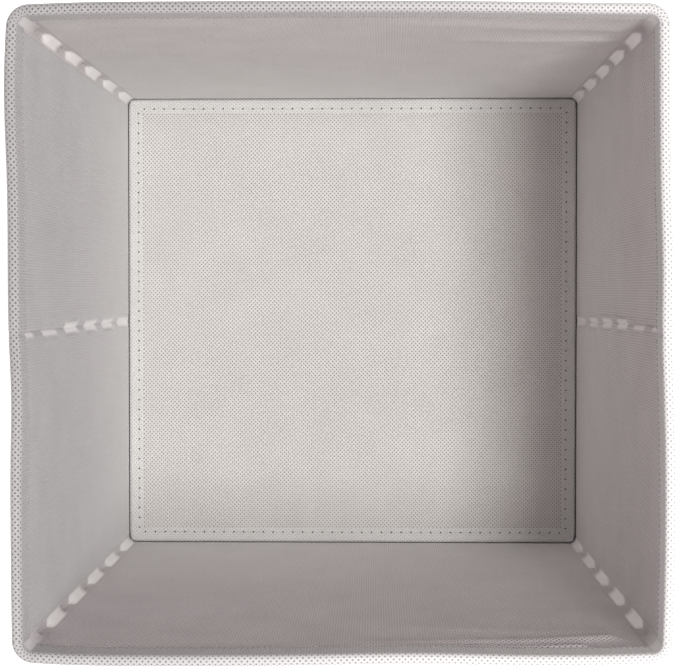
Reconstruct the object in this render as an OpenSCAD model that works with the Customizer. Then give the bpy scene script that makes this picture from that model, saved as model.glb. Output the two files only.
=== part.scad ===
// Collapsible fabric storage bin: six board-stiffened wall panels of nonwoven fabric, joined by
// welded seams that act as hinges, over a soft bottom, with a loose bound insert on the floor.
// +X is to the right, +Y to the rear, +Z up. The origin is the centre of the underside.

/* [Bin] */
// Width over the side walls, in mm
bin_w = 280; // [250:1:340]
// Depth over the front and rear walls, in mm; at least 2 less than the width, so the creases pass
bin_d = 278; // [248:1:300]
// Height to the top of the rim, in mm
bin_h = 280; // [240:1:340]
// Outer radius of the four upright corners, in mm
corner_r = 9; // [7:0.5:12]

/* [Wall layers] */
// Thickness of the nonwoven fabric, in mm
fabric_t = 0.8; // [0.5:0.1:1]
// Thickness of the boards in the walls, in mm
wall_board_t = 2.4; // [1.5:0.1:3]
// Height of the hem turned over the rim, in mm
hem_h = 14; // [10:1:20]
// Distance from the rim down to the hem stitching, in mm
stitch_drop = 12.4; // [9:0.1:18]

/* [Welded seams] */
// Number of fused dashes on each seam
weld_count = 6; // [3:1:6]
// Length of a dash, in mm
weld_len = 30; // [10:1:34]
// Width of a dash across the seam, in mm
weld_w = 6; // [4:0.5:6.5]
// Width of fabric without a board on each side of a crease, in mm
crease_margin = 4; // [3.5:0.5:8]

/* [Base insert] */
// Clearance between the insert and the hem, in mm
insert_play = 1.2; // [0.8:0.1:4]
// Thickness of the board in the insert, in mm
insert_board_t = 2; // [1.5:0.1:2]
// Width of the binding tape on the insert's top, in mm
binding_w = 8.8; // [6:0.2:14]

/* [Hidden] */
// Smoothness of curves
$fn = 64;
// Smallest radius left on the insert's corners, and the thickness of its cover and tape
insert_r = 3;
cover_t = 0.6;
tape_t = 0.5;
// Section of a run of stitching
thread_t = 0.3;
thread_w = 0.5;
// Space between two panels that meet at a seam
seam_gap = 0.3;
// How far a board stops short of the fabric that covers it
board_inset = 1;
// Height of the bottom fabric where it turns up to meet the walls
lip_h = 5.4;
// Space between the bottom fabric and the walls, and between it and the insert
wall_clear = 0.4;
insert_clear = 0.2;

panel_t = 2 * fabric_t + wall_board_t;
rim_t = panel_t + fabric_t;
wall_bottom = lip_h + wall_clear;
lining_top = bin_h - rim_t / 2;
// The walls' straight stretches end where the rounded corners start
front_half_len = bin_w / 2 - corner_r;
side_end = bin_d / 2 - corner_r - seam_gap;
insert_w = bin_w - 2 * (rim_t + insert_play);
insert_d = bin_d - 2 * (rim_t + insert_play);
insert_bottom = fabric_t + insert_clear;
insert_core_t = 2 * cover_t + insert_board_t;
// Each fused dash fills the lining's corner with a flat face at 45 degrees
weld_leg = weld_w / sqrt(2);
weld_outer_r = corner_r - 2 * fabric_t;
// The dashes are spread evenly from the rim to the bottom of the wall
weld_pitch = (lining_top - wall_bottom - weld_len) / (weld_count - 1);
// How far a crease's dash stands over the strip it is fused to
weld_raise = 0.5;
// Depth by which joined shapes run into each other
overlap = 0.01;

fabric_color = [0.72, 0.72, 0.71];
lining_color = [0.66, 0.65, 0.66];
board_color = [0.72, 0.6, 0.45];
seam_color = [0.85, 0.84, 0.84];
insert_color = [0.82, 0.81, 0.79];
thread_color = [0.9, 0.9, 0.88];

// ---- places: a wall is drawn along +X, from its outer face at y = 0 inwards to +Y ----

module at_front() {
  translate([0, -bin_d / 2, 0]) children();
}

module at_rear() {
  mirror([0, 1, 0]) at_front() children();
}

module at_left_front() {
  translate([-bin_w / 2, 0, 0]) rotate([0, 0, -90]) children();
}

module at_left_rear() {
  mirror([0, 1, 0]) at_left_front() children();
}

module at_right_front() {
  mirror([1, 0, 0]) at_left_front() children();
}

module at_right_rear() {
  mirror([0, 1, 0]) at_right_front() children();
}

// ---- layers of a wall panel, from x0 to x1 along the wall ----

// A profile across the wall, drawn with its outer face at x = 0, run from x0 to x1
module along_wall(x0, x1) {
  translate([x0, 0, 0]) rotate([90, 0, 90]) linear_extrude(x1 - x0) children();
}

module layer(from, thick, z0, z1) {
  translate([from, z0]) square([thick, z1 - z0]);
}

// The fabric's fold over the rim
module rim_fold() {
  translate([rim_t / 2, lining_top]) intersection() {
    difference() {
      circle(r = rim_t / 2);
      circle(r = rim_t / 2 - fabric_t);
    }
    translate([-rim_t, 0]) square([2 * rim_t, rim_t]);
  }
}

module outer_profile() {
  layer(0, fabric_t, wall_bottom, lining_top);
  layer(panel_t, fabric_t, bin_h - hem_h, lining_top);
  rim_fold();
}

module outer_panel(x0, x1) {
  color(fabric_color) along_wall(x0, x1) outer_profile();
}

module board_panel(x0, x1) {
  color(board_color) along_wall(x0 + board_inset, x1 - board_inset)
    layer(fabric_t, wall_board_t, wall_bottom + board_inset, lining_top);
}

module lining_panel(x0, x1) {
  color(lining_color) along_wall(x0, x1)
    layer(panel_t - fabric_t, fabric_t, wall_bottom, lining_top);
}

module hem_thread(x0, x1) {
  stitch_z = bin_h - stitch_drop;
  color(thread_color) along_wall(x0, x1)
    layer(rim_t, thread_t, stitch_z - thread_w / 2, stitch_z + thread_w / 2);
}

// Half of a crease: the lining pressed onto the outer fabric, with the fused dashes on it
module crease_weld() {
  color(seam_color) {
    along_wall(seam_gap, crease_margin) layer(fabric_t, fabric_t, wall_bottom, lining_top);
    weld_row()
      translate([seam_gap, 2 * fabric_t - overlap, 0])
        cube([weld_w / 2 - seam_gap, weld_raise + overlap, weld_len]);
  }
}

// The dashes' places, from the bottom of the wall up
module weld_row() {
  for (i = [0:weld_count - 1])
    translate([0, 0, wall_bottom + i * weld_pitch]) children();
}

// ---- the rounded corner between two walls, drawn for the corner at +X, +Y ----

module quadrant() {
  square([corner_r + 1, corner_r + 1]);
}

module corner_seam() {
  color(seam_color) translate([bin_w / 2 - corner_r, bin_d / 2 - corner_r, 0]) {
    translate([0, 0, wall_bottom]) linear_extrude(bin_h - hem_h - wall_bottom) intersection() {
      difference() {
        circle(r = corner_r);
        circle(r = weld_outer_r);
      }
      quadrant();
    }
    weld_row() linear_extrude(weld_len) corner_dash();
    corner_hem();
  }
}

// The hem round the corner, gathered solid, with the same round top as on the walls
module corner_hem() {
  rotate_extrude(angle = 90) translate([corner_r, 0]) mirror([1, 0]) {
    layer(0, rim_t, bin_h - hem_h, lining_top);
    translate([rim_t / 2, lining_top]) circle(r = rim_t / 2);
  }
}

module corner_dash() {
  // The lining's corner and the dash's two ends on it, from the centre of the corner
  inner = corner_r - panel_t;
  near = inner - weld_leg;
  intersection() {
    circle(r = weld_outer_r + overlap);
    polygon([[near, inner], [inner, near], [corner_r, near], [corner_r, corner_r], [near, corner_r]]);
  }
}

// ---- the rear and front walls ----

module rear_outer() {
  at_rear() outer_panel(-front_half_len, front_half_len);
}

module rear_board() {
  at_rear() board_panel(-front_half_len, front_half_len);
}

module rear_lining() {
  at_rear() lining_panel(-front_half_len, front_half_len);
}

module rear_hem_thread() {
  at_rear() hem_thread(-front_half_len, front_half_len);
}

module rear_right_seam() {
  corner_seam();
}

module rear_left_seam() {
  mirror([1, 0, 0]) corner_seam();
}

module front_outer() {
  at_front() outer_panel(-front_half_len, front_half_len);
}

module front_board() {
  at_front() board_panel(-front_half_len, front_half_len);
}

module front_lining() {
  at_front() lining_panel(-front_half_len, front_half_len);
}

module front_hem_thread() {
  at_front() hem_thread(-front_half_len, front_half_len);
}

module front_right_seam() {
  mirror([0, 1, 0]) rear_right_seam();
}

module front_left_seam() {
  mirror([0, 1, 0]) rear_left_seam();
}

// ---- the four half panels of the side walls ----

module left_rear_outer() {
  at_left_rear() outer_panel(seam_gap, side_end);
}

module left_rear_board() {
  at_left_rear() board_panel(crease_margin, side_end);
}

module left_rear_lining() {
  at_left_rear() lining_panel(crease_margin, side_end);
}

module left_rear_hem_thread() {
  at_left_rear() hem_thread(seam_gap, side_end);
}

module left_rear_crease_weld() {
  at_left_rear() crease_weld();
}

module left_front_outer() {
  at_left_front() outer_panel(seam_gap, side_end);
}

module left_front_board() {
  at_left_front() board_panel(crease_margin, side_end);
}

module left_front_lining() {
  at_left_front() lining_panel(crease_margin, side_end);
}

module left_front_hem_thread() {
  at_left_front() hem_thread(seam_gap, side_end);
}

module left_front_crease_weld() {
  at_left_front() crease_weld();
}

module right_rear_outer() {
  at_right_rear() outer_panel(seam_gap, side_end);
}

module right_rear_board() {
  at_right_rear() board_panel(crease_margin, side_end);
}

module right_rear_lining() {
  at_right_rear() lining_panel(crease_margin, side_end);
}

module right_rear_hem_thread() {
  at_right_rear() hem_thread(seam_gap, side_end);
}

module right_rear_crease_weld() {
  at_right_rear() crease_weld();
}

module right_front_outer() {
  at_right_front() outer_panel(seam_gap, side_end);
}

module right_front_board() {
  at_right_front() board_panel(crease_margin, side_end);
}

module right_front_lining() {
  at_right_front() lining_panel(crease_margin, side_end);
}

module right_front_hem_thread() {
  at_right_front() hem_thread(seam_gap, side_end);
}

module right_front_crease_weld() {
  at_right_front() crease_weld();
}

// ---- the bottom and the insert ----

// A plate centred on the origin with rounded corners
module rounded_plate(w, d, r) {
  union() {
    square([w - 2 * r, d], center = true);
    square([w, d - 2 * r], center = true);
    for (sx = [-1, 1], sy = [-1, 1])
      translate([sx * (w / 2 - r), sy * (d / 2 - r)]) circle(r = r);
  }
}

module bottom_fabric() {
  color(fabric_color) difference() {
    linear_extrude(lip_h) rounded_plate(bin_w, bin_d, corner_r);
    translate([0, 0, fabric_t]) linear_extrude(lip_h)
      rounded_plate(bin_w - 2 * fabric_t, bin_d - 2 * fabric_t, corner_r - fabric_t);
  }
}

// One layer of the insert, above its underside and set in from its edge
module insert_layer(up, thick, inset) {
  translate([0, 0, insert_bottom + up]) linear_extrude(thick)
    rounded_plate(insert_w - 2 * inset, insert_d - 2 * inset, insert_r - min(inset, insert_r / 2));
}

// The binding wraps the insert's edge, so the layers inside start one tape in from its outside
module insert_backing() {
  color(insert_color) insert_layer(tape_t, cover_t, tape_t);
}

module insert_board() {
  color(board_color) insert_layer(tape_t + cover_t, insert_board_t, tape_t + board_inset);
}

module insert_cover() {
  color(insert_color) insert_layer(tape_t + cover_t + insert_board_t, cover_t, tape_t);
}

module insert_binding() {
  height = insert_core_t + 2 * tape_t;
  color(fabric_color) difference() {
    insert_layer(0, height, 0);
    insert_layer(tape_t, insert_core_t, tape_t);
    insert_layer(-tape_t, height + 2 * tape_t, binding_w);
  }
}

// The stitching lies in the step between the binding and the cover
module insert_thread() {
  up = tape_t + insert_core_t;
  color(thread_color) difference() {
    insert_layer(up, thread_t, binding_w);
    insert_layer(up - thread_t, 3 * thread_t, binding_w + thread_w);
  }
}

rear_outer();
rear_board();
rear_lining();
rear_hem_thread();
rear_left_seam();
rear_right_seam();
bottom_fabric();
front_outer();
front_board();
front_lining();
front_hem_thread();
front_left_seam();
front_right_seam();
left_rear_outer();
left_rear_board();
left_rear_lining();
left_rear_hem_thread();
left_rear_crease_weld();
left_front_outer();
left_front_board();
left_front_lining();
left_front_hem_thread();
left_front_crease_weld();
right_rear_outer();
right_rear_board();
right_rear_lining();
right_rear_hem_thread();
right_rear_crease_weld();
right_front_outer();
right_front_board();
right_front_lining();
right_front_hem_thread();
right_front_crease_weld();
insert_board();
insert_cover();
insert_backing();
insert_binding();
insert_thread();
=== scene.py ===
import math
import bmesh
import bpy
import numpy as np
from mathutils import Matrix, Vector


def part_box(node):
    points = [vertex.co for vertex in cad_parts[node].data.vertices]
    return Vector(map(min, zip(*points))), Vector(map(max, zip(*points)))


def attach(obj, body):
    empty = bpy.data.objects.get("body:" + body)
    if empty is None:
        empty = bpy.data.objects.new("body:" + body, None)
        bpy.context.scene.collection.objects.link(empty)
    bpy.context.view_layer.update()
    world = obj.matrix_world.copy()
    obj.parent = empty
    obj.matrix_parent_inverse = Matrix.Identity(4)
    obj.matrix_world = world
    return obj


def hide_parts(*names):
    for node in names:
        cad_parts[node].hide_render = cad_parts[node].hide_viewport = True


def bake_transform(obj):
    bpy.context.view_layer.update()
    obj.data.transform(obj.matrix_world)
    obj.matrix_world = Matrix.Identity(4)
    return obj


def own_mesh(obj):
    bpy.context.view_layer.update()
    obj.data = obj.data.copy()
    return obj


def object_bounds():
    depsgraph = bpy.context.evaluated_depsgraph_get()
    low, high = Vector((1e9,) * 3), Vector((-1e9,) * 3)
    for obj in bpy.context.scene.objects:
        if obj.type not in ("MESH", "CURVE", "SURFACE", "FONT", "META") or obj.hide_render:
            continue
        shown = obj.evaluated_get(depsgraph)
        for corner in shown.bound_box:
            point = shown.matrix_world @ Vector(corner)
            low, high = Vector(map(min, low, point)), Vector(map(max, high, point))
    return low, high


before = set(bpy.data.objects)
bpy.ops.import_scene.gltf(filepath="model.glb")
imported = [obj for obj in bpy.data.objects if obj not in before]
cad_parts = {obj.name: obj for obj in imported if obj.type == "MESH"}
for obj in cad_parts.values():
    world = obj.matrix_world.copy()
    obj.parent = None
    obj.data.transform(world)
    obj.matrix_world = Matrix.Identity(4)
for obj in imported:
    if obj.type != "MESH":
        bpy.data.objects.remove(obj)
cadLow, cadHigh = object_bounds()

# Lengths in this script are in millimetres, and become metres as each mesh is made.
# All the places below are read from the frame.

def boxOf(node):
    low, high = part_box(node)
    return np.array(low) * 1000, np.array(high) * 1000


outerLow, outerHigh = boxOf("rear_outer")
liningLow, liningHigh = boxOf("rear_lining")
boardLow, boardHigh = boxOf("rear_board")

halfWidth = cadHigh.x * 1000
halfDepth = cadHigh.y * 1000
wallBottom = outerLow[2]
foldZ = liningHigh[2]                      # where the cloth starts to turn over the rim
frontEnd = outerHigh[0]                    # the front and rear walls run from -frontEnd to frontEnd
sideEnd = halfDepth - (halfWidth - frontEnd)
cornerR = halfWidth - frontEnd
rimThick = halfDepth - outerLow[1]
clothThick = liningHigh[1] - liningLow[1]
boardThick = boardHigh[1] - boardLow[1]
liningDepth = halfDepth - (liningLow[1] + liningHigh[1]) / 2
boardDepth = halfDepth - (boardLow[1] + boardHigh[1]) / 2
hemHeight = 14
hemBottom = boxOf("rear_left_seam")[1][2] - hemHeight
stitchZ = sum(boxOf("rear_hem_thread")[i][2] for i in (0, 1)) / 2

weld = {
    "count": 6,            # dashes in one row
    "length": 30,          # of one fused dash
    "width": 6.2,          # at a crease
    "fade": 5,             # over which a dash turns into loose cloth
    "creaseHalf": 6,       # half of the strip that the crease pieces cover
    "outside": 0.5,        # how far a dash shows through on the outside
}
weldPitch = (foldZ - wallBottom - weld["length"]) / (weld["count"] - 1)

# How far the rim stands outside its straight line, at places along each wall
rimBow = {
    "left": [(-139, -0.8), (-100, -0.5), (-60, -0.5), (-25, -1.0),
             (0, -0.1), (60, 0.3), (110, 1.4), (139, 0.1)],
    "right": [(-139, 2.0), (-110, 2.8), (-50, 2.9), (-25, 2.2),
              (0, 1.4), (25, 1.5), (65, 0.4), (139, -0.4)],
    "rear": [(-140, 0.5), (-110, 1.5), (-60, 1.8), (0, 1.8), (70, 1.2), (110, 0.5), (140, 0.1)],
    "front": [(-140, 1.0), (-115, 2.2), (-80, 2.5), (-30, 2.1),
              (35, 0.9), (85, 1.6), (115, 1.2), (140, 0.2)],
}


def ease(t):
    t = np.clip(t, 0, 1)
    return t * t * (3 - 2 * t)


def curveThrough(points, at):
    # a smooth curve through given values
    xs, vs = (np.array(c, float) for c in zip(*points))
    slopes = np.gradient(vs, xs)
    at = np.clip(at, xs[0], xs[-1])
    i = np.clip(np.searchsorted(xs, at) - 1, 0, len(xs) - 2)
    step = xs[i + 1] - xs[i]
    t = (at - xs[i]) / step
    return ((2 * t**3 - 3 * t**2 + 1) * vs[i] + (t**3 - 2 * t**2 + t) * step * slopes[i]
            + (3 * t**2 - 2 * t**3) * vs[i + 1] + (t**3 - t**2) * step * slopes[i + 1])


def bowed(p):
    # the whole bin's slack: straight at the bottom, bowed at the rim
    x, y, z = p[..., 0], p[..., 1], p[..., 2]
    rise = np.clip((z - wallBottom) / (foldZ - wallBottom), 0, 1) ** 1.4
    toRight, toRear = 0.5 + x / (2 * halfWidth), 0.5 + y / (2 * halfDepth)
    dx = curveThrough(rimBow["right"], y) * toRight - curveThrough(rimBow["left"], y) * (1 - toRight)
    dy = curveThrough(rimBow["rear"], x) * toRear - curveThrough(rimBow["front"], x) * (1 - toRear)
    return np.stack([x + dx * rise, y + dy * rise, z], axis=-1)


def onWall(side, s, depth, z):
    # s runs along the wall, depth goes inwards from its outer face
    s, depth, z = np.broadcast_arrays(s, depth, z)
    if side in ("left", "right"):
        x = halfWidth - depth
        return np.stack([x if side == "right" else -x, s, z], axis=-1)
    y = halfDepth - depth
    return np.stack([s, y if side == "rear" else -y, z], axis=-1)


def finishObject(name, verts, faces, uvs=None, marks=None, sharp=50):
    # marks are values per vertex that the materials read: weld for fused cloth, and the painted-light mark,
    # where light is painted into the cloth's colour
    mesh = bpy.data.meshes.new(name)
    mesh.from_pydata((np.asarray(verts, float) / 1000).tolist(), [], faces)
    for mark, values in (marks or {}).items():
        attribute = mesh.attributes.new(mark, "FLOAT", "POINT")
        attribute.data.foreach_set("value", np.asarray(values, np.float32))
    if uvs is not None:
        corner = np.zeros(len(mesh.loops), np.int32)
        mesh.loops.foreach_get("vertex_index", corner)
        layer = mesh.uv_layers.new(name="cloth")
        layer.data.foreach_set("uv", np.asarray(uvs, np.float32)[corner].ravel())
    tidy = bmesh.new()
    tidy.from_mesh(mesh)
    bmesh.ops.recalc_face_normals(tidy, faces=tidy.faces)
    tidy.to_mesh(mesh)
    tidy.free()
    mesh.polygons.foreach_set("use_smooth", [True] * len(mesh.polygons))
    mesh.set_sharp_from_angle(angle=math.radians(sharp))
    piece = bpy.data.objects.new(name, mesh)
    bpy.context.scene.collection.objects.link(piece)
    return piece


def gridFaces(rows, cols, first=0):
    index = first + np.arange(rows * cols).reshape(rows, cols)
    quads = np.stack([index[:-1, :-1], index[1:, :-1], index[1:, 1:], index[:-1, 1:]], axis=-1)
    return quads.reshape(-1, 4)


class Shells:
    # gathers closed sheets of cloth into one mesh
    def __init__(self):
        self.verts, self.faces, self.uvs, self.count = [], [], [], 0
        self.marks = {"weld": [], "paintedLight": []}

    def add(self, middle, thick, uv, weld=0.0, paintedLight=0.0):
        rows, cols = middle.shape[:2]
        n = rows * cols
        across = np.cross(np.gradient(middle, axis=0), np.gradient(middle, axis=1))
        across /= np.maximum(np.linalg.norm(across, axis=-1, keepdims=True), 1e-9)
        half = np.broadcast_to(np.asarray(thick, float) / 2, (rows, cols))[..., None]
        top, bottom = middle + across * half, middle - across * half
        quads = gridFaces(rows, cols, self.count)
        index = self.count + np.arange(n).reshape(rows, cols)
        edge = np.concatenate([index[0, :], index[1:, -1], index[-1, -2::-1], index[-2:0:-1, 0]])
        turn = np.roll(edge, -1)
        rim = np.stack([edge, turn, turn + n, edge + n], axis=-1)
        self.verts += [top.reshape(-1, 3), bottom.reshape(-1, 3)]
        self.faces += [quads, quads[:, ::-1] + n, rim]
        self.uvs += [np.asarray(uv, float).reshape(-1, 2)] * 2
        for mark, values in (("weld", weld), ("paintedLight", paintedLight)):
            self.marks[mark] += [np.broadcast_to(values, (rows, cols)).ravel()] * 2
        self.count += 2 * n

    def build(self, name, sharp=50):
        marks = {mark: np.concatenate(values) for mark, values in self.marks.items()}
        return finishObject(name, np.concatenate(self.verts), np.concatenate(self.faces).tolist(),
                            np.concatenate(self.uvs), marks, sharp)


def stations(start, end, step):
    return np.linspace(start, end, max(2, int(math.ceil(abs(end - start) / step)) + 1))


def hemSection(step):
    # mid line of the outer cloth: up the outside, over the rim, down the inside; depth, z and length run
    radius = (rimThick - clothThick) / 2
    up = stations(wallBottom, foldZ - 2, step)
    turn = np.radians(np.linspace(180, 0, 13))
    down = stations(foldZ - 2, hemBottom, 2.5)
    depth = np.concatenate([np.full(len(up), clothThick / 2), rimThick / 2 + radius * np.cos(turn),
                            np.full(len(down), rimThick - clothThick / 2)])
    z = np.concatenate([up, foldZ + radius * np.sin(turn), down])
    run = np.concatenate([[0], np.cumsum(np.hypot(np.diff(depth), np.diff(z)))])
    inside = np.concatenate([np.zeros(len(up)), np.linspace(0, 1, 13), np.ones(len(down))])
    return depth, z, run, inside


def mixNode(tree, factor, first, second):
    # first and second are colours, or the outputs of other nodes
    node = tree.nodes.new("ShaderNodeMix")
    node.data_type = "RGBA"
    tree.links.new(factor, node.inputs[0])
    for slot, value in ((6, first), (7, second)):
        if isinstance(value, tuple):
            node.inputs[slot].default_value = (*value, 1)
        else:
            tree.links.new(value, node.inputs[slot])
    return node.outputs[2]


def mathNode(tree, operation, first, second=None, third=None):
    node = tree.nodes.new("ShaderNodeMath")
    node.operation = operation
    for slot, value in enumerate((first, second, third)):
        if value is None:
            continue
        if isinstance(value, (int, float)):
            node.inputs[slot].default_value = value
        else:
            tree.links.new(value, node.inputs[slot])
    return node.outputs[0]


def noiseNode(tree, vector, scale, detail=2.0, rough=0.5):
    node = tree.nodes.new("ShaderNodeTexNoise")
    node.inputs["Scale"].default_value = scale
    node.inputs["Detail"].default_value = detail
    node.inputs["Roughness"].default_value = rough
    tree.links.new(vector, node.inputs["Vector"])
    return node.outputs["Fac"]


def rangeNode(tree, value, fromLow, fromHigh, toLow=0.0, toHigh=1.0):
    node = tree.nodes.new("ShaderNodeMapRange")
    node.interpolation_type = "SMOOTHSTEP"
    tree.links.new(value, node.inputs["Value"])
    limits = {"From Min": fromLow, "From Max": fromHigh, "To Min": toLow, "To Max": toHigh}
    for socket, number in limits.items():
        node.inputs[socket].default_value = number
    return node.outputs["Result"]


def newMaterial(name, roughness, sheen=0.0):
    material = bpy.data.materials.new(name)
    material.use_nodes = True
    tree = material.node_tree
    shader = tree.nodes["Principled BSDF"]
    shader.inputs["Roughness"].default_value = roughness
    shader.inputs["Sheen Weight"].default_value = sheen
    shader.inputs["Sheen Roughness"].default_value = 0.5
    shader.inputs["Specular IOR Level"].default_value = 0.35
    return material, tree, shader


def attributeNode(tree, name):
    node = tree.nodes.new("ShaderNodeAttribute")
    node.attribute_name = name
    return node.outputs["Fac"]


def clothPlace(tree):
    # the place on the cloth in millimetres, and its two parts
    uv = tree.nodes.new("ShaderNodeUVMap")
    uv.uv_map = "cloth"
    split = tree.nodes.new("ShaderNodeSeparateXYZ")
    tree.links.new(uv.outputs["UV"], split.inputs[0])
    return uv.outputs["UV"], split.outputs[0], split.outputs[1]


def addBump(tree, shader, height, strength, distance):
    bump = tree.nodes.new("ShaderNodeBump")
    bump.inputs["Strength"].default_value = strength
    bump.inputs["Distance"].default_value = distance
    tree.links.new(height, bump.inputs["Height"])
    tree.links.new(bump.outputs["Normal"], shader.inputs["Normal"])


def nonwoven(name, look):
    # spunbond cloth: fibres, a diamond of pressed dots, and the smooth film where it is fused
    material, tree, shader = newMaterial(name, look["roughness"], look["sheen"])
    place, across, along = clothPlace(tree)
    waves = []
    for part, pitch in ((across, look["pitchAcross"]), (along, look["pitchAlong"])):
        turn = mathNode(tree, "MULTIPLY", part, 2 * math.pi / pitch)
        waves.append(mathNode(tree, "COSINE", turn))
    lattice = mathNode(tree, "MULTIPLY", waves[0], waves[1])
    dots = rangeNode(tree, lattice, look["dotEdge"], 0.92)
    film = rangeNode(tree, attributeNode(tree, "weld"), 0.08, 0.95)
    dots = mathNode(tree, "MULTIPLY", dots, mathNode(tree, "SUBTRACT", 1.0, film))

    cloud = noiseNode(tree, place, look["cloudScale"], 3)
    clump = noiseNode(tree, place, 0.55, 3, 0.6)
    fibre = noiseNode(tree, place, 2.6, 4, 0.7)
    tone = mathNode(tree, "MULTIPLY", cloud, 0.3)
    tone = mathNode(tree, "ADD", tone, mathNode(tree, "MULTIPLY", clump, 0.38))
    tone = mathNode(tree, "ADD", tone, mathNode(tree, "MULTIPLY", fibre, 0.32))
    colour = mixNode(tree, rangeNode(tree, tone, 0.3, 0.7), look["dark"], look["light"])
    # painted light: the cloth's colour is lightened where the mesh's painted-light mark says, and its dots
    # fade there
    paintedLight = attributeNode(tree, "paintedLight")
    colour = mixNode(tree, paintedLight, colour, look["paintedLightColour"])
    ink = mathNode(tree, "SUBTRACT", look["dotInk"], mathNode(tree, "MULTIPLY", paintedLight, look["fade"]))
    colour = mixNode(tree, mathNode(tree, "MULTIPLY", dots, ink), colour, look["dotColour"])
    if "holeRow" in look:
        # needle holes along a row of sewing, painted as dark spots: painted shade in the holes
        beat = mathNode(tree, "COSINE", mathNode(tree, "MULTIPLY", across, 2 * math.pi / look["holePitch"]))
        away = mathNode(tree, "ABSOLUTE", mathNode(tree, "SUBTRACT", along, look["holeRow"]))
        holes = mathNode(tree, "MULTIPLY", rangeNode(tree, beat, 0.85, 0.96),
                         rangeNode(tree, away, 0.6, 0.25))
        colour = mixNode(tree, holes, colour, look["holeShadeColour"])
        dots = mathNode(tree, "MAXIMUM", dots, holes)
    colour = mixNode(tree, mathNode(tree, "MULTIPLY", film, 0.92), colour, look["filmColour"])
    tree.links.new(colour, shader.inputs["Base Color"])

    gloss = mathNode(tree, "SUBTRACT", look["roughness"], mathNode(tree, "MULTIPLY", film, 0.3))
    tree.links.new(mathNode(tree, "SUBTRACT", gloss, mathNode(tree, "MULTIPLY", dots, 0.15)),
                   shader.inputs["Roughness"])
    relief = mathNode(tree, "SUBTRACT", mathNode(tree, "MULTIPLY", fibre, 0.35), dots)
    relief = mathNode(tree, "MULTIPLY", relief, rangeNode(tree, film, 0, 1, 1, 0.25))
    addBump(tree, shader, relief, look["bump"], look["relief"])
    return material


stitchPitch = 6.0      # of the tape's sewing
clothLook = {
    "roughness": 0.82,
    "sheen": 0.18,
    "pitchAcross": 2.47,   # of the pressed dots
    "pitchAlong": 2.2,
    "dotEdge": 0.36,       # a lower edge makes a dot larger
    "dotInk": 0.92,        # how dark a dot is
    "fade": 0.52,          # of the dots where light is painted into the cloth
    "bump": 0.8,
    "relief": 0.00045,
    "cloudScale": 0.035,
    "dark": (0.32, 0.315, 0.315),
    "light": (0.43, 0.425, 0.425),
    "dotColour": (0.10, 0.097, 0.097),
    "filmColour": (0.97, 0.955, 0.95),
    # the colour that painted light lightens the cloth towards
    "paintedLightColour": (0.90, 0.895, 0.89),
}
# the lining cloth of the front and right walls and the corners; the copies for the left and rear walls are
# set darker, so the light and shade between the walls is painted into the cloth's colour
liningLook = {
    **clothLook,
    "pitchAlong": 2.47,
    "dotInk": 0.95,
    "bump": 1.0,
    "relief": 0.0007,
    "dark": (0.68, 0.635, 0.645),
    "light": (0.83, 0.78, 0.79),
    "dotColour": (0.24, 0.215, 0.22),
}
# painted shade: a darker copy of the lining cloth, with fainter dots and relief, for the left wall
leftLiningShadeLook = {
    **clothLook,
    "pitchAlong": 2.47,
    "dotInk": 0.65,
    "relief": 0.0004,
    "dark": (0.525, 0.52, 0.527),
    "light": (0.64, 0.635, 0.642),
    "dotColour": (0.30, 0.29, 0.295),
}
# painted shade: a darker copy of the lining cloth for the rear wall
rearLiningShadeLook = {
    **leftLiningShadeLook,
    "dark": (0.665, 0.64, 0.625),
    "light": (0.81, 0.785, 0.765),
    "dotColour": (0.32, 0.30, 0.305),
}
insertClothLook = {
    **clothLook,
    "pitchAcross": 2.345,
    "pitchAlong": 2.457,
    "dotEdge": 0.28,
    "dotInk": 1.0,
    "dark": (0.625, 0.60, 0.583),
    "light": (0.715, 0.697, 0.68),
    "dotColour": (0.31, 0.275, 0.27),
}
tapeLook = {
    **clothLook,
    "dotInk": 0.55,
    "dark": (0.65, 0.64, 0.625),
    "light": (0.75, 0.74, 0.725),
    "dotColour": (0.36, 0.345, 0.33),
    "holeRow": 2.6,        # from the tape's inner edge
    "holePitch": stitchPitch,
    "holeShadeColour": (0.03, 0.028, 0.027),
}
outerCloth = nonwoven("outerFabric", clothLook)
liningCloth = nonwoven("liningFabric", liningLook)
leftLiningShaded = nonwoven("leftLiningPaintedShade", leftLiningShadeLook)
rearLiningShaded = nonwoven("rearLiningPaintedShade", rearLiningShadeLook)
# one lining cloth, coloured for the light on each wall: painted light and shade
linings = {"left": leftLiningShaded, "rear": rearLiningShaded, "front": liningCloth, "right": liningCloth}
insertCloth = nonwoven("insertFabric", insertClothLook)
tapeCloth = nonwoven("bindingTape", tapeLook)


def threadMaterial(name, low, high):
    # two twisted plies, by the place along the thread and round it
    material, tree, shader = newMaterial(name, 0.55, 0.3)
    place, along, around = clothPlace(tree)
    ply = mathNode(tree, "SINE", mathNode(tree, "ADD", mathNode(tree, "MULTIPLY", along, 14), around))
    tree.links.new(mixNode(tree, rangeNode(tree, ply, -0.8, 0.6), low, high), shader.inputs["Base Color"])
    addBump(tree, shader, ply, 0.5, 0.0001)
    return material


def boardMaterial():
    material, tree, shader = newMaterial("greyBoard", 0.85)
    place, across, along = clothPlace(tree)
    pulp = noiseNode(tree, place, 0.9, 5, 0.65)
    colour = mixNode(tree, rangeNode(tree, pulp, 0.3, 0.7), (0.33, 0.27, 0.20), (0.50, 0.42, 0.32))
    tree.links.new(colour, shader.inputs["Base Color"])
    addBump(tree, shader, pulp, 0.3, 0.0002)
    return material


hemThread = threadMaterial("hemThread", (0.30, 0.295, 0.29), (0.46, 0.45, 0.445))
tapeThread = threadMaterial("tapeThread", (0.56, 0.55, 0.535), (0.72, 0.71, 0.695))
greyBoard = boardMaterial()
print("materials made")


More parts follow.
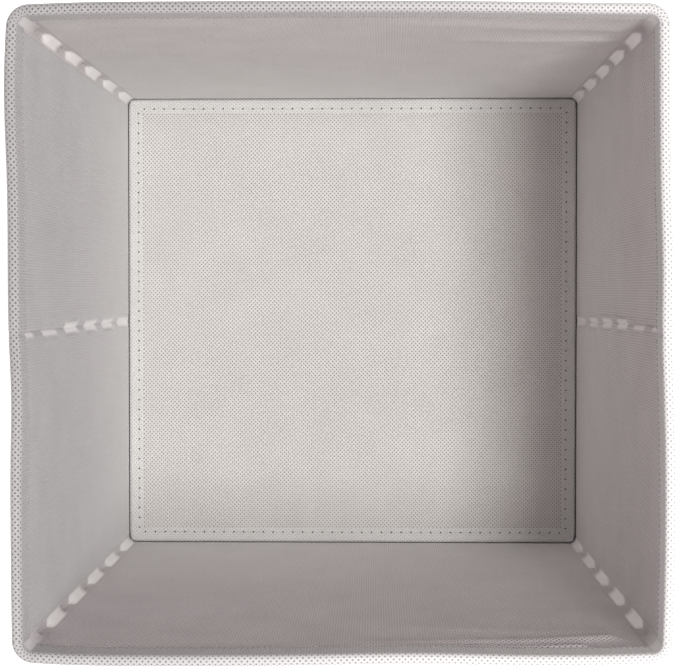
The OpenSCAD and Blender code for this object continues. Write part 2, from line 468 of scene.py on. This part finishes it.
def dress(piece, material, slotName, *nodes):
    piece.data.materials.append(material)
    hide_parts(*nodes)
    return piece


def dashAt(z, droop=0.0, stretch=0.0, upperFade=weld["fade"], lowerFade=weld["fade"]):
    # 1 on a dash, 0 on the loose cloth between two; droop lowers a dash's lower end
    best = np.zeros(np.broadcast(z, droop).shape)
    for i in range(weld["count"]):
        low = wallBottom + i * weldPitch
        lower = ease((z - (low - droop)) / lowerFade + 0.5)
        upper = ease((low + weld["length"] + stretch - z) / upperFade + 0.5)
        best = np.maximum(best, lower * upper)
    return best


panels = {
    "rear": {"body": "rear_wall", "side": "rear", "from": -frontEnd, "to": frontEnd},
    "front": {"body": "front_wall", "side": "front", "from": -frontEnd, "to": frontEnd},
    "left_rear": {"body": "left_rear", "side": "left", "from": weld["creaseHalf"], "to": sideEnd},
    "left_front": {"body": "left_front", "side": "left", "from": -sideEnd, "to": -weld["creaseHalf"]},
    "right_rear": {"body": "right_rear", "side": "right", "from": weld["creaseHalf"], "to": sideEnd},
    "right_front": {"body": "right_front", "side": "right", "from": -sideEnd, "to": -weld["creaseHalf"]},
}

# Folds that the slack lining shows: along and up the wall from one end to the other, width and height
liningFolds = {
    "rear": [
        ((128, 212), (52, 208), 6, 1.5),
        ((126, 238), (20, 250), 8, 1.1),
        ((-120, 240), (-60, 246), 8, 0.4),
        ((130, 190), (95, 150), 8, -0.6),
    ],
    "front": [
        ((104, 262.8), (2, 263.4), 2.4, 1.3),
        ((118, 249), (12, 258), 4.8, 2.0),
        ((116, 236), (30, 228), 6, 1.1),
        ((-8, 263.6), (-118, 263.2), 1.6, 0.8),
        ((-124, 252), (-70, 258), 6, 0.5),
        ((-122, 120), (-90, 60), 9, 0.5),
    ],
    "left": [
        ((20, 262), (60, 250), 6, 0.4),
        ((-30, 256), (-90, 250), 7, 0.4),
        ((120, 180), (112, 60), 8, 0.5),
        ((-118, 200), (-112, 90), 8, 0.5),
    ],
    "right": [
        ((124, 236), (50, 254), 6, 1.4),
        ((122, 214), (70, 236), 7, 0.9),
        ((-126, 250), (-70, 258), 6, 0.5),
        ((-122, 160), (-114, 60), 8, 0.5),
        ((30, 240), (100, 232), 8, 0.5),
    ],
}


def foldRelief(side, s, z):
    total = np.zeros(np.broadcast(s, z).shape)
    for (s0, z0), (s1, z1), width, height in liningFolds[side]:
        ds, dz = s1 - s0, z1 - z0
        t = np.clip(((s - s0) * ds + (z - z0) * dz) / (ds * ds + dz * dz), 0, 1)
        gap = np.hypot(s - (s0 + t * ds), z - (z0 + t * dz)) / width
        total = total + height * np.exp(-gap * gap) * (0.35 + 0.65 * (1 - t))
    return total


def slack(side, s, z):
    # long soft waves of the cloth over the board
    phase = {"rear": 0.4, "front": 1.7, "left": 2.9, "right": 4.1}[side]
    return (0.24 * np.sin(s / 17 + phase) * np.sin(z / 46 + phase)
            + 0.14 * np.sin(s / 8.3 + z / 70 + 2 * phase)
            + 0.11 * np.sin(z / 12 + s / 60 + phase))


def heldAtEnds(s, start, end):
    # 0 where a panel meets its neighbours, 1 a little inside
    return ease((s - start) / 7) * ease((end - s) / 7)


# How far the lining's foot leans in, to the insert
footReach = {"left": 0.1, "rear": 0.2, "front": 0.1, "right": 0.0}
footHeight = 26


def footLean(side, z):
    return footReach[side] * (1 - ease((z - wallBottom) / footHeight))


def liningRelief(side, s, z, start, end):
    held = heldAtEnds(s, start, end) * ease((hemBottom - z) / 2.2 + 0.3)
    base = ease((z - wallBottom) / 10)
    return (foldRelief(side, s, z) + slack(side, s, z)) * held * base + footLean(side, z)


# Painted light in the cloth's colour: over the rim, more to the front right, and on the lining near the
# floor
paintedLightLook = {
    "middle": 0.36,      # of the rim
    "toRight": 0.38,
    "toRear": 0.18,
    "leg": 0.50,         # of the hem's inner leg
    "legToRight": 0.17,
    "foot": 0.5,         # of the lining at the floor
    "footFade": 230,     # height at which that has gone
}


def rimPaintedLight(place, inside):
    # painted light: the cloth over the rim and down the hem's inner leg is painted lighter, most at the
    # front right, for the light that falls there from the front right
    x, y = place[..., 0] / halfWidth, place[..., 1] / halfDepth
    spread = paintedLightLook["middle"] + paintedLightLook["toRight"] * x - paintedLightLook["toRear"] * y
    over = np.clip(spread, 0, 0.9) * ease(inside / 0.25)
    leg = np.maximum(over, paintedLightLook["leg"] + paintedLightLook["legToRight"] * x) * ease((inside - 0.6) / 0.4)
    return np.maximum(over, leg)


def footPaintedLight(z):
    # painted light: the lining is painted lighter near the floor, for the light that the bright floor of
    # the bin throws onto the walls' foot, fading out with height
    return paintedLightLook["foot"] * (1 - ease((z - wallBottom) / paintedLightLook["footFade"]))


def wallOuter(name, panel):
    side, start, end = panel["side"], panel["from"], panel["to"]
    depth, z, run, inside = hemSection(4)
    s = stations(start, end, 3.2)
    sGrid, zGrid = np.meshgrid(s, z)
    outside = (1 - inside)[:, None] * ease((foldZ - zGrid) / 25) * ease((zGrid - wallBottom) / 12)
    depths = depth[:, None] - slack(side, sGrid, zGrid) * 1.3 * heldAtEnds(sGrid, start, end) * outside
    # between its stitches the hem's edge lifts a little
    hemEdge = ease((hemBottom + 5 - zGrid) / 5) * (inside[:, None] > 0.99)
    depths += 0.14 * (0.5 + 0.5 * np.sin(sGrid / 3.1)) * hemEdge
    shells = Shells()
    place = onWall(side, sGrid, depths, zGrid)
    shells.add(bowed(place), clothThick, np.stack([sGrid, run[:, None] + 0 * sGrid], axis=-1),
               paintedLight=rimPaintedLight(place, inside[:, None]))
    piece = shells.build(name + "_outer_cloth")
    dress(piece, outerCloth, "outer_fabric", name + "_outer")
    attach(piece, panel["body"])


def wallLining(name, panel):
    side, start, end = panel["side"], panel["from"], panel["to"]
    s = stations(start, end, 2.6)
    z = np.concatenate([stations(wallBottom, 236, 2.6), stations(237, foldZ, 1.0)])
    sGrid, zGrid = np.meshgrid(s, z)
    depths = liningDepth + liningRelief(side, sGrid, zGrid, start, end)
    shells = Shells()
    uv = np.stack([sGrid, zGrid], axis=-1)
    # painted light: the lining's colour is lightened near the floor
    shells.add(bowed(onWall(side, sGrid, depths, zGrid)), clothThick, uv, paintedLight=footPaintedLight(zGrid))
    piece = shells.build(name + "_lining_cloth")
    dress(piece, linings[side], "lining_fabric", name + "_lining")
    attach(piece, panel["body"])


def wallBoard(name, panel):
    low, high = boxOf(name + "_board")
    axis = 0 if panel["side"] in ("rear", "front") else 1
    s = stations(low[axis], high[axis], 9)
    z = stations(low[2], high[2], 9)
    sGrid, zGrid = np.meshgrid(s, z)
    shells = Shells()
    place = onWall(panel["side"], sGrid, boardDepth, zGrid)
    shells.add(bowed(place), boardThick - 0.9, np.stack([sGrid, zGrid], axis=-1))
    piece = shells.build(name + "_board_core", sharp=30)
    dress(piece, greyBoard, "cardboard", name + "_board")
    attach(piece, panel["body"])


stitchLook = {
    "hemPitch": 2.45,
    "hemLength": 2.3,
    "hemSlant": 24,        # degrees from the hem's edge
    "radius": 0.2,
    "bulge": 0.22,         # how far a stitch stands out in its middle
    "insertLength": 4.9,
    "insertRadius": 0.24,
    "insertBulge": 0.08,
    "pastEnd": 4,          # how far the side walls' sewing runs over the crease's strip
}


def stitchBar(centre, along, out, length, radius, bulge):
    # one stitch: a short round thread whose ends dive into the cloth
    rings, sides = 7, 6
    third = np.cross(along, out)
    verts = []
    for i in range(rings):
        t = 2 * i / (rings - 1) - 1
        middle = centre + along * (t * length / 2) + out * (bulge * (1 - t * t * t * t) - 0.6 * radius)
        r = radius * (1 - 0.35 * t * t)
        for k in range(sides):
            a = 2 * math.pi * k / sides
            verts.append(middle + r * (math.cos(a) * third + math.sin(a) * out))
    faces = []
    for i in range(rings - 1):
        for k in range(sides):
            a, b = i * sides + k, i * sides + (k + 1) % sides
            faces.append((a, b, b + sides, a + sides))
    faces.append(tuple(range(sides - 1, -1, -1)))
    faces.append(tuple(range((rings - 1) * sides, rings * sides)))
    uvs = [(length * i / (rings - 1), 2 * math.pi * k / sides) for i in range(rings) for k in range(sides)]
    return verts, faces, uvs


def threadPiece(name, bars):
    verts, faces, uvs = [], [], []
    for barVerts, barFaces, barUvs in bars:
        first = len(verts)
        verts += barVerts
        faces += [tuple(first + v for v in face) for face in barFaces]
        uvs += barUvs
    return finishObject(name, verts, faces, uvs, sharp=180)


def wallStitches(name, panel):
    side, start, end = panel["side"], panel["from"], panel["to"]
    if name not in ("rear", "front"):
        past = stitchLook["pastEnd"]
        start, end = (start - past, end) if start > 0 else (start, end + past)
    count = int((end - start) / stitchLook["hemPitch"])
    bars = []
    slant = math.radians(stitchLook["hemSlant"])
    for i in range(count):
        s = start + (i + 0.5) * (end - start) / count
        here, ahead, inner = bowed(onWall(side, np.array([s, s + 1, s]), rimThick + np.array([0, 0, 1]),
                                          np.full(3, stitchZ)))
        run = (ahead - here) / np.linalg.norm(ahead - here)
        out = inner - here
        out -= run * (out @ run)
        out /= np.linalg.norm(out)
        along = run * math.cos(slant) + np.array([0, 0, math.sin(slant)])
        bars.append(stitchBar(here, along, out, stitchLook["hemLength"], stitchLook["radius"],
                               stitchLook["bulge"]))
    piece = threadPiece(name + "_hem_stitches", bars)
    dress(piece, hemThread, "thread", name + "_hem_thread")
    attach(piece, panel["body"])


for panelName, panel in panels.items():
    wallOuter(panelName, panel)
    wallLining(panelName, panel)
    wallBoard(panelName, panel)
    wallStitches(panelName, panel)
print("wall panels made")


# The four corners are all drawn for the one at rear right, and flipped into place
corners = {
    "rear_left": {"flip": (-1, 1), "bodies": ("rear_wall", "left_rear")},
    "rear_right": {"flip": (1, 1), "bodies": ("rear_wall", "right_rear")},
    "front_left": {"flip": (-1, -1), "bodies": ("front_wall", "left_front")},
    "front_right": {"flip": (1, -1), "bodies": ("front_wall", "right_front")},
}
cornerLook = {
    "reach": cornerR - liningDepth,     # from the corner of the lining to its end on each wall
    "chord": 3.5,                       # where a dash leaves each wall
    "pocket": 0.3,                      # how far the loose cloth sinks behind the corner
    "ear": 7.5,                         # how far a dash runs down along the two walls
    "imprint": 0.35,                    # of a dash on the outside
    "widen": 2.0,                       # how much longer a dash is in the very corner
    "underHem": 0.55,                   # how much of the film is missing under the hem
    "hemFilm": 0.55,                    # of the weld over the hem's inner leg
}


def cornerStrip(z, firstSide, secondSide):
    # the lining across the corner: flat on a dash, a hollow between two
    a = np.linspace(-1, 1, 29)
    aGrid, zGrid = np.meshgrid(a, z)
    reach, chord = cornerLook["reach"], cornerLook["chord"]
    size = np.abs(aGrid)
    onFirst = aGrid < 0
    flatPart = np.clip(aGrid / (chord / reach), -1, 1)
    # distances from the lining's corner along the rear wall and along the side wall
    chordFirst, chordSecond = chord * (1 - flatPart) / 2, chord * (1 + flatPart) / 2
    chordFirst = np.where(onFirst, np.maximum(reach * size, chordFirst), chordFirst)
    chordSecond = np.where(onFirst, chordSecond, np.maximum(reach * size, chordSecond))
    chordFirst = np.where(aGrid > chord / reach, 0, chordFirst)
    chordSecond = np.where(aGrid < -chord / reach, 0, chordSecond)
    sink = cornerLook["pocket"] * (1 - size**2.2)
    pocketFirst = np.where(onFirst, reach * size, 0) - sink
    pocketSecond = np.where(onFirst, 0, reach * size) - sink
    droop = cornerLook["ear"] * size**2.2
    longer = cornerLook["widen"] * (1 - size**2)
    shape = dashAt(zGrid, droop, longer - 4, 15) * (1 - ease((zGrid - (hemBottom - 0.5)) / 2.5))
    first = chordFirst * shape + pocketFirst * (1 - shape)
    second = chordSecond * shape + pocketSecond * (1 - shape)
    x = halfWidth - liningDepth - first - footLean(secondSide, zGrid) * np.clip(2 + 2 * aGrid, 0, 1)
    y = halfDepth - liningDepth - second - footLean(firstSide, zGrid) * np.clip(2 - 2 * aGrid, 0, 1)
    film = dashAt(zGrid, droop - 6, longer - 1.5, 5, 16) * ease((0.87 - size) / 0.28)
    film *= 1 - cornerLook["underHem"] * ease((zGrid - (hemBottom - 24)) / 8)
    uv = np.stack([reach * aGrid, zGrid], axis=-1)
    return np.stack([x, y, zGrid], axis=-1), film, uv


def twoCloths(shells, name, rows, cols, lining, *nodes):
    # a seam's first sheet, of rows by cols, is outer cloth and the next one is lining
    piece = shells.build(name)
    piece.data.materials.append(outerCloth)
    dress(piece, lining, "welded_seam", *nodes)
    outerFaces = 2 * (rows - 1) * (cols - 1) + 2 * (rows + cols - 2)
    count = len(piece.data.polygons)
    piece.data.polygons.foreach_set("material_index", [int(i >= outerFaces) for i in range(count)])
    return piece


def cornerPiece(name, corner):
    depth, z, run, inside = hemSection(2.2)
    turn = np.radians(np.linspace(90, 0, 15))
    tGrid, zGrid = np.meshgrid(turn, z)
    depths = depth[:, None] + 0 * tGrid
    middleness = 1 - np.abs(tGrid / math.radians(45) - 1)
    dash = dashAt(zGrid, 2.0) * ease((middleness - 0.42) / 0.25)
    outside = (1 - inside)[:, None] * (zGrid < foldZ - 1)
    depths += cornerLook["imprint"] * dash * outside
    radius = cornerR - depths
    x = halfWidth - cornerR + radius * np.cos(tGrid)
    y = halfDepth - cornerR + radius * np.sin(tGrid)
    onHem = cornerLook["hemFilm"] * inside[:, None] * ease((foldZ + 1 - zGrid) / 3)
    onHem = onHem * ease((middleness - 0.15) / 0.3)
    shells = Shells()
    flip = np.array([*corner["flip"], 1])
    skin = np.stack([x, y, zGrid], axis=-1)
    uv = np.stack([frontEnd + cornerR * (math.pi / 2 - tGrid), run[:, None] + 0 * tGrid], axis=-1)
    shells.add(bowed(skin * flip), clothThick, uv, np.maximum(dash * outside * weld["outside"], onHem),
               rimPaintedLight(skin * flip, inside[:, None]))
    strip, film, stripUv = cornerStrip(stations(wallBottom, foldZ, 0.9), *name.split("_"))
    shells.add(bowed(strip * flip), clothThick, stripUv, film, footPaintedLight(strip[..., 2]))
    piece = twoCloths(shells, name + "_corner_seam", len(z), len(turn), liningCloth, name + "_seam")
    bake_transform(piece)


for cornerName, corner in corners.items():
    cornerPiece(cornerName, corner)
print("corners made")


creaseLook = {
    "groove": 1.4,         # how deep the lining is pressed on a dash
    "flatHalf": 4.9,       # half width of that groove low down, where it has a flat bottom
    "veeHalf": 4.6,        # and near the rim, where it is sharp
    "sharpFrom": 150,      # height from which it turns sharp
    "sharpOver": 110,
    "looseGroove": 1.1,    # between two dashes
    "line": 0.9,           # of the fold's own sharp line
    "lineHalf": 0.7,
    "hemGroove": 0.9,
    "imprint": 0.5,        # of the crease on the outside
    "film": 0.8,
    "halfFused": 183,      # from this height only the front half of a dash has fused
    "drift": {"left": 0.5, "right": 3.2},   # of the welded line at the rim, towards the rear
}


def creaseShells(side, start, end):
    depth, z, run, inside = hemSection(2.2)
    s = stations(start, end, 0.45)
    sGrid, zGrid = np.meshgrid(s, z)
    gap = np.abs(sGrid)
    pinch = np.exp(-(gap / 1.1) ** 2)
    dash = dashAt(zGrid) * ease((weld["width"] / 2 + 0.5 - gap) / 0.8)
    outside = (1 - inside)[:, None] * ease((foldZ - zGrid) / 6)
    onHem = inside[:, None] * ease((foldZ + 2 - zGrid) / 4)
    depths = depth[:, None] + (creaseLook["imprint"] * pinch + 0.2 * dash) * outside
    depths -= creaseLook["hemGroove"] * np.exp(-(gap / 1.6) ** 2) * onHem
    pinchedZ = zGrid - 0.5 * pinch * (zGrid > foldZ - 1)
    shells = Shells()
    uv = np.stack([sGrid, run[:, None] + 0 * sGrid], axis=-1)
    film = dash * outside * weld["outside"]
    shells.add(bowed(onWall(side, sGrid, depths, pinchedZ)), clothThick, uv, film,
               rimPaintedLight(onWall(side, sGrid, depths, zGrid), inside[:, None]))
    strip, film, uv = creaseStrip(side, s)
    shells.add(bowed(strip), clothThick, uv, film, footPaintedLight(strip[..., 2]))
    return shells, len(z), len(s), run[-1]


def creaseStrip(side, s):
    # the lining: a flat-bottomed groove on a dash low down, a sharper one towards the rim
    sGrid, zGrid = np.meshgrid(s, stations(wallBottom, foldZ, 0.9))
    dash = dashAt(zGrid)
    toRear = sGrid - creaseLook["drift"][side] * (zGrid - wallBottom) / (hemBottom - wallBottom)
    gap = np.abs(toRear)
    sharpness = ease((zGrid - creaseLook["sharpFrom"]) / creaseLook["sharpOver"])
    flat = ease((creaseLook["flatHalf"] - gap) / 1.8)
    vee = np.clip(1 - gap / creaseLook["veeHalf"], 0, 1) ** 1.2
    on = creaseLook["groove"] * (flat * (1 - sharpness) + vee * sharpness)
    off = creaseLook["looseGroove"] * np.exp(-(gap / 2.2) ** 2)
    line = creaseLook["line"] * np.exp(-(gap / creaseLook["lineHalf"]) ** 2)
    pressed = on * dash + off * (1 - dash) + line
    depths = liningDepth + footLean(side, zGrid) - pressed * (0.25 + 0.75 * ease((zGrid - wallBottom) / 14))
    depths -= 0.2 * ease((zGrid - hemBottom + 4) / 4) * np.exp(-(gap / 3) ** 2)
    bare = ease((zGrid - creaseLook["halfFused"]) / 14) * ease((toRear + 0.8) / 1.6)
    film = creaseLook["film"] * dash * ease((weld["width"] / 2 + 1.0 - gap) / 3.0)
    film = film * (1 - bare) * (zGrid < hemBottom + 2)
    return onWall(side, sGrid, depths, zGrid), film, np.stack([sGrid, zGrid], axis=-1)


def creasePiece(name, side, start, end, *nodes):
    shells, rows, cols, long = creaseShells(side, start, end)
    piece = twoCloths(shells, name, rows, cols, linings[side], *nodes)
    return piece


half = weld["creaseHalf"]
leftCrease = creasePiece("left_crease_seam", "left", half, -half, "left_rear_crease_weld",
                         "left_front_crease_weld")
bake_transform(leftCrease)
meet = 0.02     # the right crease's two halves only touch
rightRear = creasePiece("right_rear_crease_seam", "right", meet, half, "right_rear_crease_weld")
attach(rightRear, "right_rear")
rightFront = creasePiece("right_front_crease_seam", "right", -half, -meet, "right_front_crease_weld")
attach(rightFront, "right_front")
print("creases made")


trayLook = {
    "round": 1.6,        # of the edge where the cloth turns up
    "folded": 0.12,      # share of its depth that is left when the bin is flat
}


def roundedOutline(w, d, r, perCorner=8, step=12):
    # points round a rectangle with rounded corners, from the middle of the right side
    points = []
    for quarter in range(4):
        a0 = quarter * math.pi / 2
        cx = (w / 2 - r) * (1 if quarter in (0, 3) else -1)
        cy = (d / 2 - r) * (1 if quarter in (0, 1) else -1)
        for k in range(perCorner + 1):
            a = a0 + k / perCorner * math.pi / 2
            points.append((cx + r * math.cos(a), cy + r * math.sin(a)))
    points = np.array(points + points[:1])
    dense = [points[:1]]
    for p, q in zip(points[:-1], points[1:]):
        n = max(1, int(np.linalg.norm(q - p) / step))
        dense.append(p + (q - p) * (np.arange(1, n + 1) / n)[:, None])
    return np.concatenate(dense)[:-1]


def bottomTray():
    # a flat cloth whose edge turns up to meet the walls, one ring per step of its section
    low, high = boxOf("bottom_fabric")
    lip = high[2]
    t = clothThick
    w, d = high[0] - low[0], high[1] - low[1]
    radius = trayLook["round"]
    # inset of the mid line and its z, from the lip to the middle
    section = [(t / 2, lip), (t / 2, lip / 2 + 0.6), (t / 2, radius + t / 2)]
    for k in range(1, 6):
        a = math.radians(90 * k / 5)
        section.append((t / 2 + radius * (1 - math.cos(a)), t / 2 + radius * (1 - math.sin(a))))
    for share in (0.06, 0.16, 0.3, 0.5, 0.75, 0.97):
        section.append((t / 2 + radius + share * (d / 2 - radius - t), t / 2))
    outline = roundedOutline(w, d, cornerR)
    rings = []
    for inset, z in section:
        shrink = np.array([(w / 2 - inset) / (w / 2), (d / 2 - inset) / (d / 2)])
        ring = outline * shrink
        rings.append(np.concatenate([ring, np.full((len(ring), 1), z)], axis=1))
    grid = np.array(rings)
    rows, cols = grid.shape[:2]
    wrapped = np.concatenate([grid[:, -1:], grid, grid[:, :1]], axis=1)
    across = np.cross(np.gradient(grid, axis=0), np.gradient(wrapped, axis=1)[:, 1:-1])
    across /= np.maximum(np.linalg.norm(across, axis=-1, keepdims=True), 1e-9)
    across[-6:] = np.array([0, 0, math.copysign(1, across[-3, 0, 2])])
    faces = []
    for first in (0, rows * cols):
        for i in range(rows - 1):
            for j in range(cols):
                a, b = first + i * cols + j, first + i * cols + (j + 1) % cols
                faces.append((a, b, b + cols, a + cols))
        faces.append(tuple(first + (rows - 1) * cols + j for j in range(cols)))
    under = rows * cols
    faces += [(j, (j + 1) % cols, under + (j + 1) % cols, under + j) for j in range(cols)]
    verts = np.concatenate([(grid + across * t / 2).reshape(-1, 3), (grid - across * t / 2).reshape(-1, 3)])
    verts[:, 2] = np.maximum(verts[:, 2], 0)
    upturned = np.abs(verts[:, :2]) > [[w / 2 - 3, d / 2 - 3]]
    uvs = verts[:, :2] + np.where(upturned, np.sign(verts[:, :2]), 0) * verts[:, 2:3]
    piece = finishObject("bottom_tray", verts, faces, uvs)
    dress(piece, outerCloth, "outer_fabric", "bottom_fabric")
    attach(piece, "rear_wall")
    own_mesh(piece)


bottomTray()
print("bottom made")


insertLook = {
    "corner": 3,
    "tapeWidth": 8.8,
    "tapeThick": 0.5,
    "sewnIn": 2.6,       # from the tape's inner edge to its stitching
    "overlap": 0.28,     # how much the front and rear tapes stand over the side ones at the corners
    "swell": 0.25,       # of the cover between its edges
    "proud": 1.85,       # how far its soft edge presses out to the walls
    "flatEdge": 9,       # width of the cover under the tape
    "crown": 25,         # over which it swells from there
}
bindLow, bindHigh = boxOf("insert_binding")
insertSize = bindHigh - bindLow + 2 * insertLook["proud"]


def insertSheet(name, node, slotName, up, material):
    low, high = boxOf(node)
    if material is insertCloth:
        low[:2] -= insertLook["proud"]
        high[:2] += insertLook["proud"]
    s = stations(low[0], high[0], 6)
    q = stations(low[1], high[1], 6)
    sGrid, qGrid = np.meshgrid(s, q)
    mid = (low[2] + high[2]) / 2
    fromEdge = [ease((end - np.abs(grid) - insertLook["flatEdge"]) / insertLook["crown"])
                for end, grid in zip(high, (sGrid, qGrid))]
    edge = fromEdge[0] * fromEdge[1]
    z = mid + up * edge * (0.5 + 0.5 * np.sin(sGrid / 23 + 1) * np.sin(qGrid / 31)) * insertLook["swell"]
    # the cloth's corners are cut round
    r = insertLook["corner"]
    pastS = np.maximum(np.abs(sGrid) - (high[0] - r), 0)
    pastQ = np.maximum(np.abs(qGrid) - (high[1] - r), 0)
    pull = np.maximum(np.hypot(pastS, pastQ) - r, 0) * 0.7
    sGrid, qGrid = sGrid - np.sign(sGrid) * pull, qGrid - np.sign(qGrid) * pull
    shells = Shells()
    uv = np.stack([sGrid, qGrid], axis=-1)
    shells.add(np.stack([sGrid, qGrid, z], axis=-1), high[2] - low[2] - 0.05, uv)
    piece = shells.build(name)
    dress(piece, material, slotName, node)
    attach(piece, "insert")
    return piece


cover = insertSheet("insert_cover_cloth", "insert_cover", "insert_fabric", 1, insertCloth)
backing = insertSheet("insert_backing_cloth", "insert_backing", "insert_fabric", 0, insertCloth)
insertSheet("insert_board_core", "insert_board", "cardboard", 0, greyBoard)


def tapeSection():
    # from the tape's inner edge on top, round the insert's edge, to the inner edge below: inset, z, run
    t = insertLook["tapeThick"]
    top, bottom = bindHigh[2] - t / 2, bindLow[2] + t / 2
    radius = (top - bottom) / 2
    flat = stations(insertLook["tapeWidth"], t / 2 + radius, 1.1)
    turn = np.radians(np.linspace(90, 270, 11))
    inset = np.concatenate([flat, t / 2 + radius * (1 + np.cos(turn)), flat[::-1]])
    roundZ = (top + bottom) / 2 + radius * np.sin(turn)
    z = np.concatenate([np.full(len(flat), top), roundZ, np.full(len(flat), bottom)])
    keep = np.concatenate([[True], np.hypot(np.diff(inset), np.diff(z)) > 0.01])
    inset, z = inset[keep], z[keep]
    return inset, z, np.concatenate([[0], np.cumsum(np.hypot(np.diff(inset), np.diff(z)))])


def insertSides(halfSize):
    # number, half length, distance from the middle, cosine and sine of each side's turn
    for turnBy, (c, s) in enumerate([(1, 0), (0, 1), (-1, 0), (0, -1)]):
        longHalf, edge = halfSize if turnBy % 2 == 0 else halfSize[::-1]
        yield turnBy, longHalf, edge, c, s


def binding():
    inset, z, run = tapeSection()
    shells = Shells()
    for turnBy, longHalf, edge, c, s in insertSides(insertSize[:2] / 2):
        t = stations(-1, 1, 3.0 / longHalf)
        tGrid, insets = np.meshgrid(t, inset)
        zGrid = z[:, None] + 0 * tGrid
        runs = run[:, None] + 0 * tGrid
        # mitred ends: the tape is shorter towards its inner edge
        sGrid = tGrid * (longHalf - insets)
        near = ease((np.abs(sGrid) - (longHalf - 12)) / 3)
        lift = insertLook["overlap"] * near * (zGrid > z.mean()) * (1 if turnBy % 2 == 0 else -0.4)
        wave = 0.10 * np.sin(sGrid / 7 + turnBy) * ease((insets - 3) / 3)
        out = edge - insets
        # round the insert's four corners
        cornerGap = np.maximum(np.abs(sGrid) - (longHalf - insertLook["corner"]), 0)
        out = out - cornerGap**2 / (2 * insertLook["corner"]) * ease((4 - insets) / 4)
        p = np.stack([sGrid, out, zGrid + lift + wave * (zGrid > z.mean())], axis=-1)
        p = np.stack([p[..., 0] * c - p[..., 1] * s, p[..., 0] * s + p[..., 1] * c, p[..., 2]], axis=-1)
        shells.add(p, insertLook["tapeThick"] - 0.05, np.stack([sGrid, runs], axis=-1))
    piece = shells.build("insert_binding_tape")
    dress(piece, tapeCloth, "binding_tape", "insert_binding")
    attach(piece, "insert")


def insertStitches():
    bars = []
    inset = insertLook["tapeWidth"] - insertLook["sewnIn"]
    top = bindHigh[2]
    out = np.array([0, 0, 1.0])
    for turnBy, longHalf, edge, c, s in insertSides(insertSize[:2] / 2 - inset):
        count = int(longHalf / stitchPitch)
        for i in range(-count, count):
            at = (i + 0.5) * stitchPitch
            centre = np.array([at * c - edge * s, at * s + edge * c, top])
            bars.append(stitchBar(centre, np.array([c, s, 0.0]), out, stitchLook["insertLength"],
                                  stitchLook["insertRadius"], stitchLook["insertBulge"]))
    piece = threadPiece("insert_stitches", bars)
    dress(piece, tapeThread, "thread", "insert_thread")
    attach(piece, "insert")


binding()
insertStitches()
print("insert made")


floorLook = {"size": 12, "colour": (0.95, 0.95, 0.95, 1), "glow": 0.5}
skyLook = {
    "strength": 0.47,
    "fromFront": 0.51,     # how much brighter the sky is in front than at the sides
    "overhead": 0.45,
    "colour": (1, 0.895, 0.905, 1),
}
lamps = {
    "keyLight": {"place": (0.50, -0.10, 2.2), "aim": (0, 0, 0.1), "size": (0.75, 0.42), "power": 38,
                 "colour": (0.99, 1, 0.985)},
    "sideLight": {"place": (1.3, -1.3, 0.16), "aim": (0, 0, 0.2), "size": (1.6, 0.2), "power": 5,
                  "colour": (1, 1, 1)},
}


def studio():
    bpy.ops.mesh.primitive_plane_add(size=floorLook["size"], location=(0, 0, -0.0004))
    floor = bpy.context.object
    floor.name = "floor"
    material, tree, shader = newMaterial("paleFloor", 0.9)
    shader.inputs["Base Color"].default_value = floorLook["colour"]
    shader.inputs["Emission Color"].default_value = (1, 1, 1, 1)
    shader.inputs["Emission Strength"].default_value = floorLook["glow"]
    floor.data.materials.append(material)

    scene = bpy.context.scene
    world = bpy.data.worlds.new("studioSky")
    scene.world = world
    world.use_nodes = True
    tree = world.node_tree
    background = tree.nodes["Background"]
    coords = tree.nodes.new("ShaderNodeTexCoord")
    split = tree.nodes.new("ShaderNodeSeparateXYZ")
    tree.links.new(coords.outputs["Generated"], split.inputs[0])
    front = mathNode(tree, "MULTIPLY", split.outputs[1], -skyLook["fromFront"])
    above = mathNode(tree, "MAXIMUM", split.outputs[2], 0.0)
    above = mathNode(tree, "MULTIPLY", above, skyLook["overhead"])
    level = mathNode(tree, "ADD", mathNode(tree, "ADD", front, 1.0), above)
    level = mathNode(tree, "MULTIPLY", level, skyLook["strength"])
    tree.links.new(level, background.inputs["Strength"])
    background.inputs["Color"].default_value = skyLook["colour"]

    for name, look in lamps.items():
        lamp = bpy.data.lights.new(name, "AREA")
        lamp.shape = "RECTANGLE"
        lamp.size, lamp.size_y = look["size"]
        lamp.energy = look["power"]
        lamp.color = look["colour"]
        holder = bpy.data.objects.new(name, lamp)
        holder.location = look["place"]
        aim = Vector(look["aim"]) - Vector(look["place"])
        holder.rotation_euler = aim.to_track_quat("-Z", "Y").to_euler()
        scene.collection.objects.link(holder)
    scene.view_settings.view_transform = "Standard"


studio()

lens = {
    "place": (0.0198, 0.0190, 0.9042),
    "tilt": (-1.19, 1.197),
    "focal": 78.54,
    "shift": -0.0206,
}
camera = bpy.data.objects.new("camera", bpy.data.cameras.new("camera"))
camera.location = lens["place"]
camera.rotation_euler = (math.radians(lens["tilt"][0]), math.radians(lens["tilt"][1]), 0)
camera.data.lens = lens["focal"]
camera.data.sensor_width = 36
camera.data.shift_x = camera.data.shift_y = lens["shift"]
camera.data.clip_start = 0.01
bpy.context.scene.collection.objects.link(camera)
bpy.context.scene.camera = camera
print("studio made")
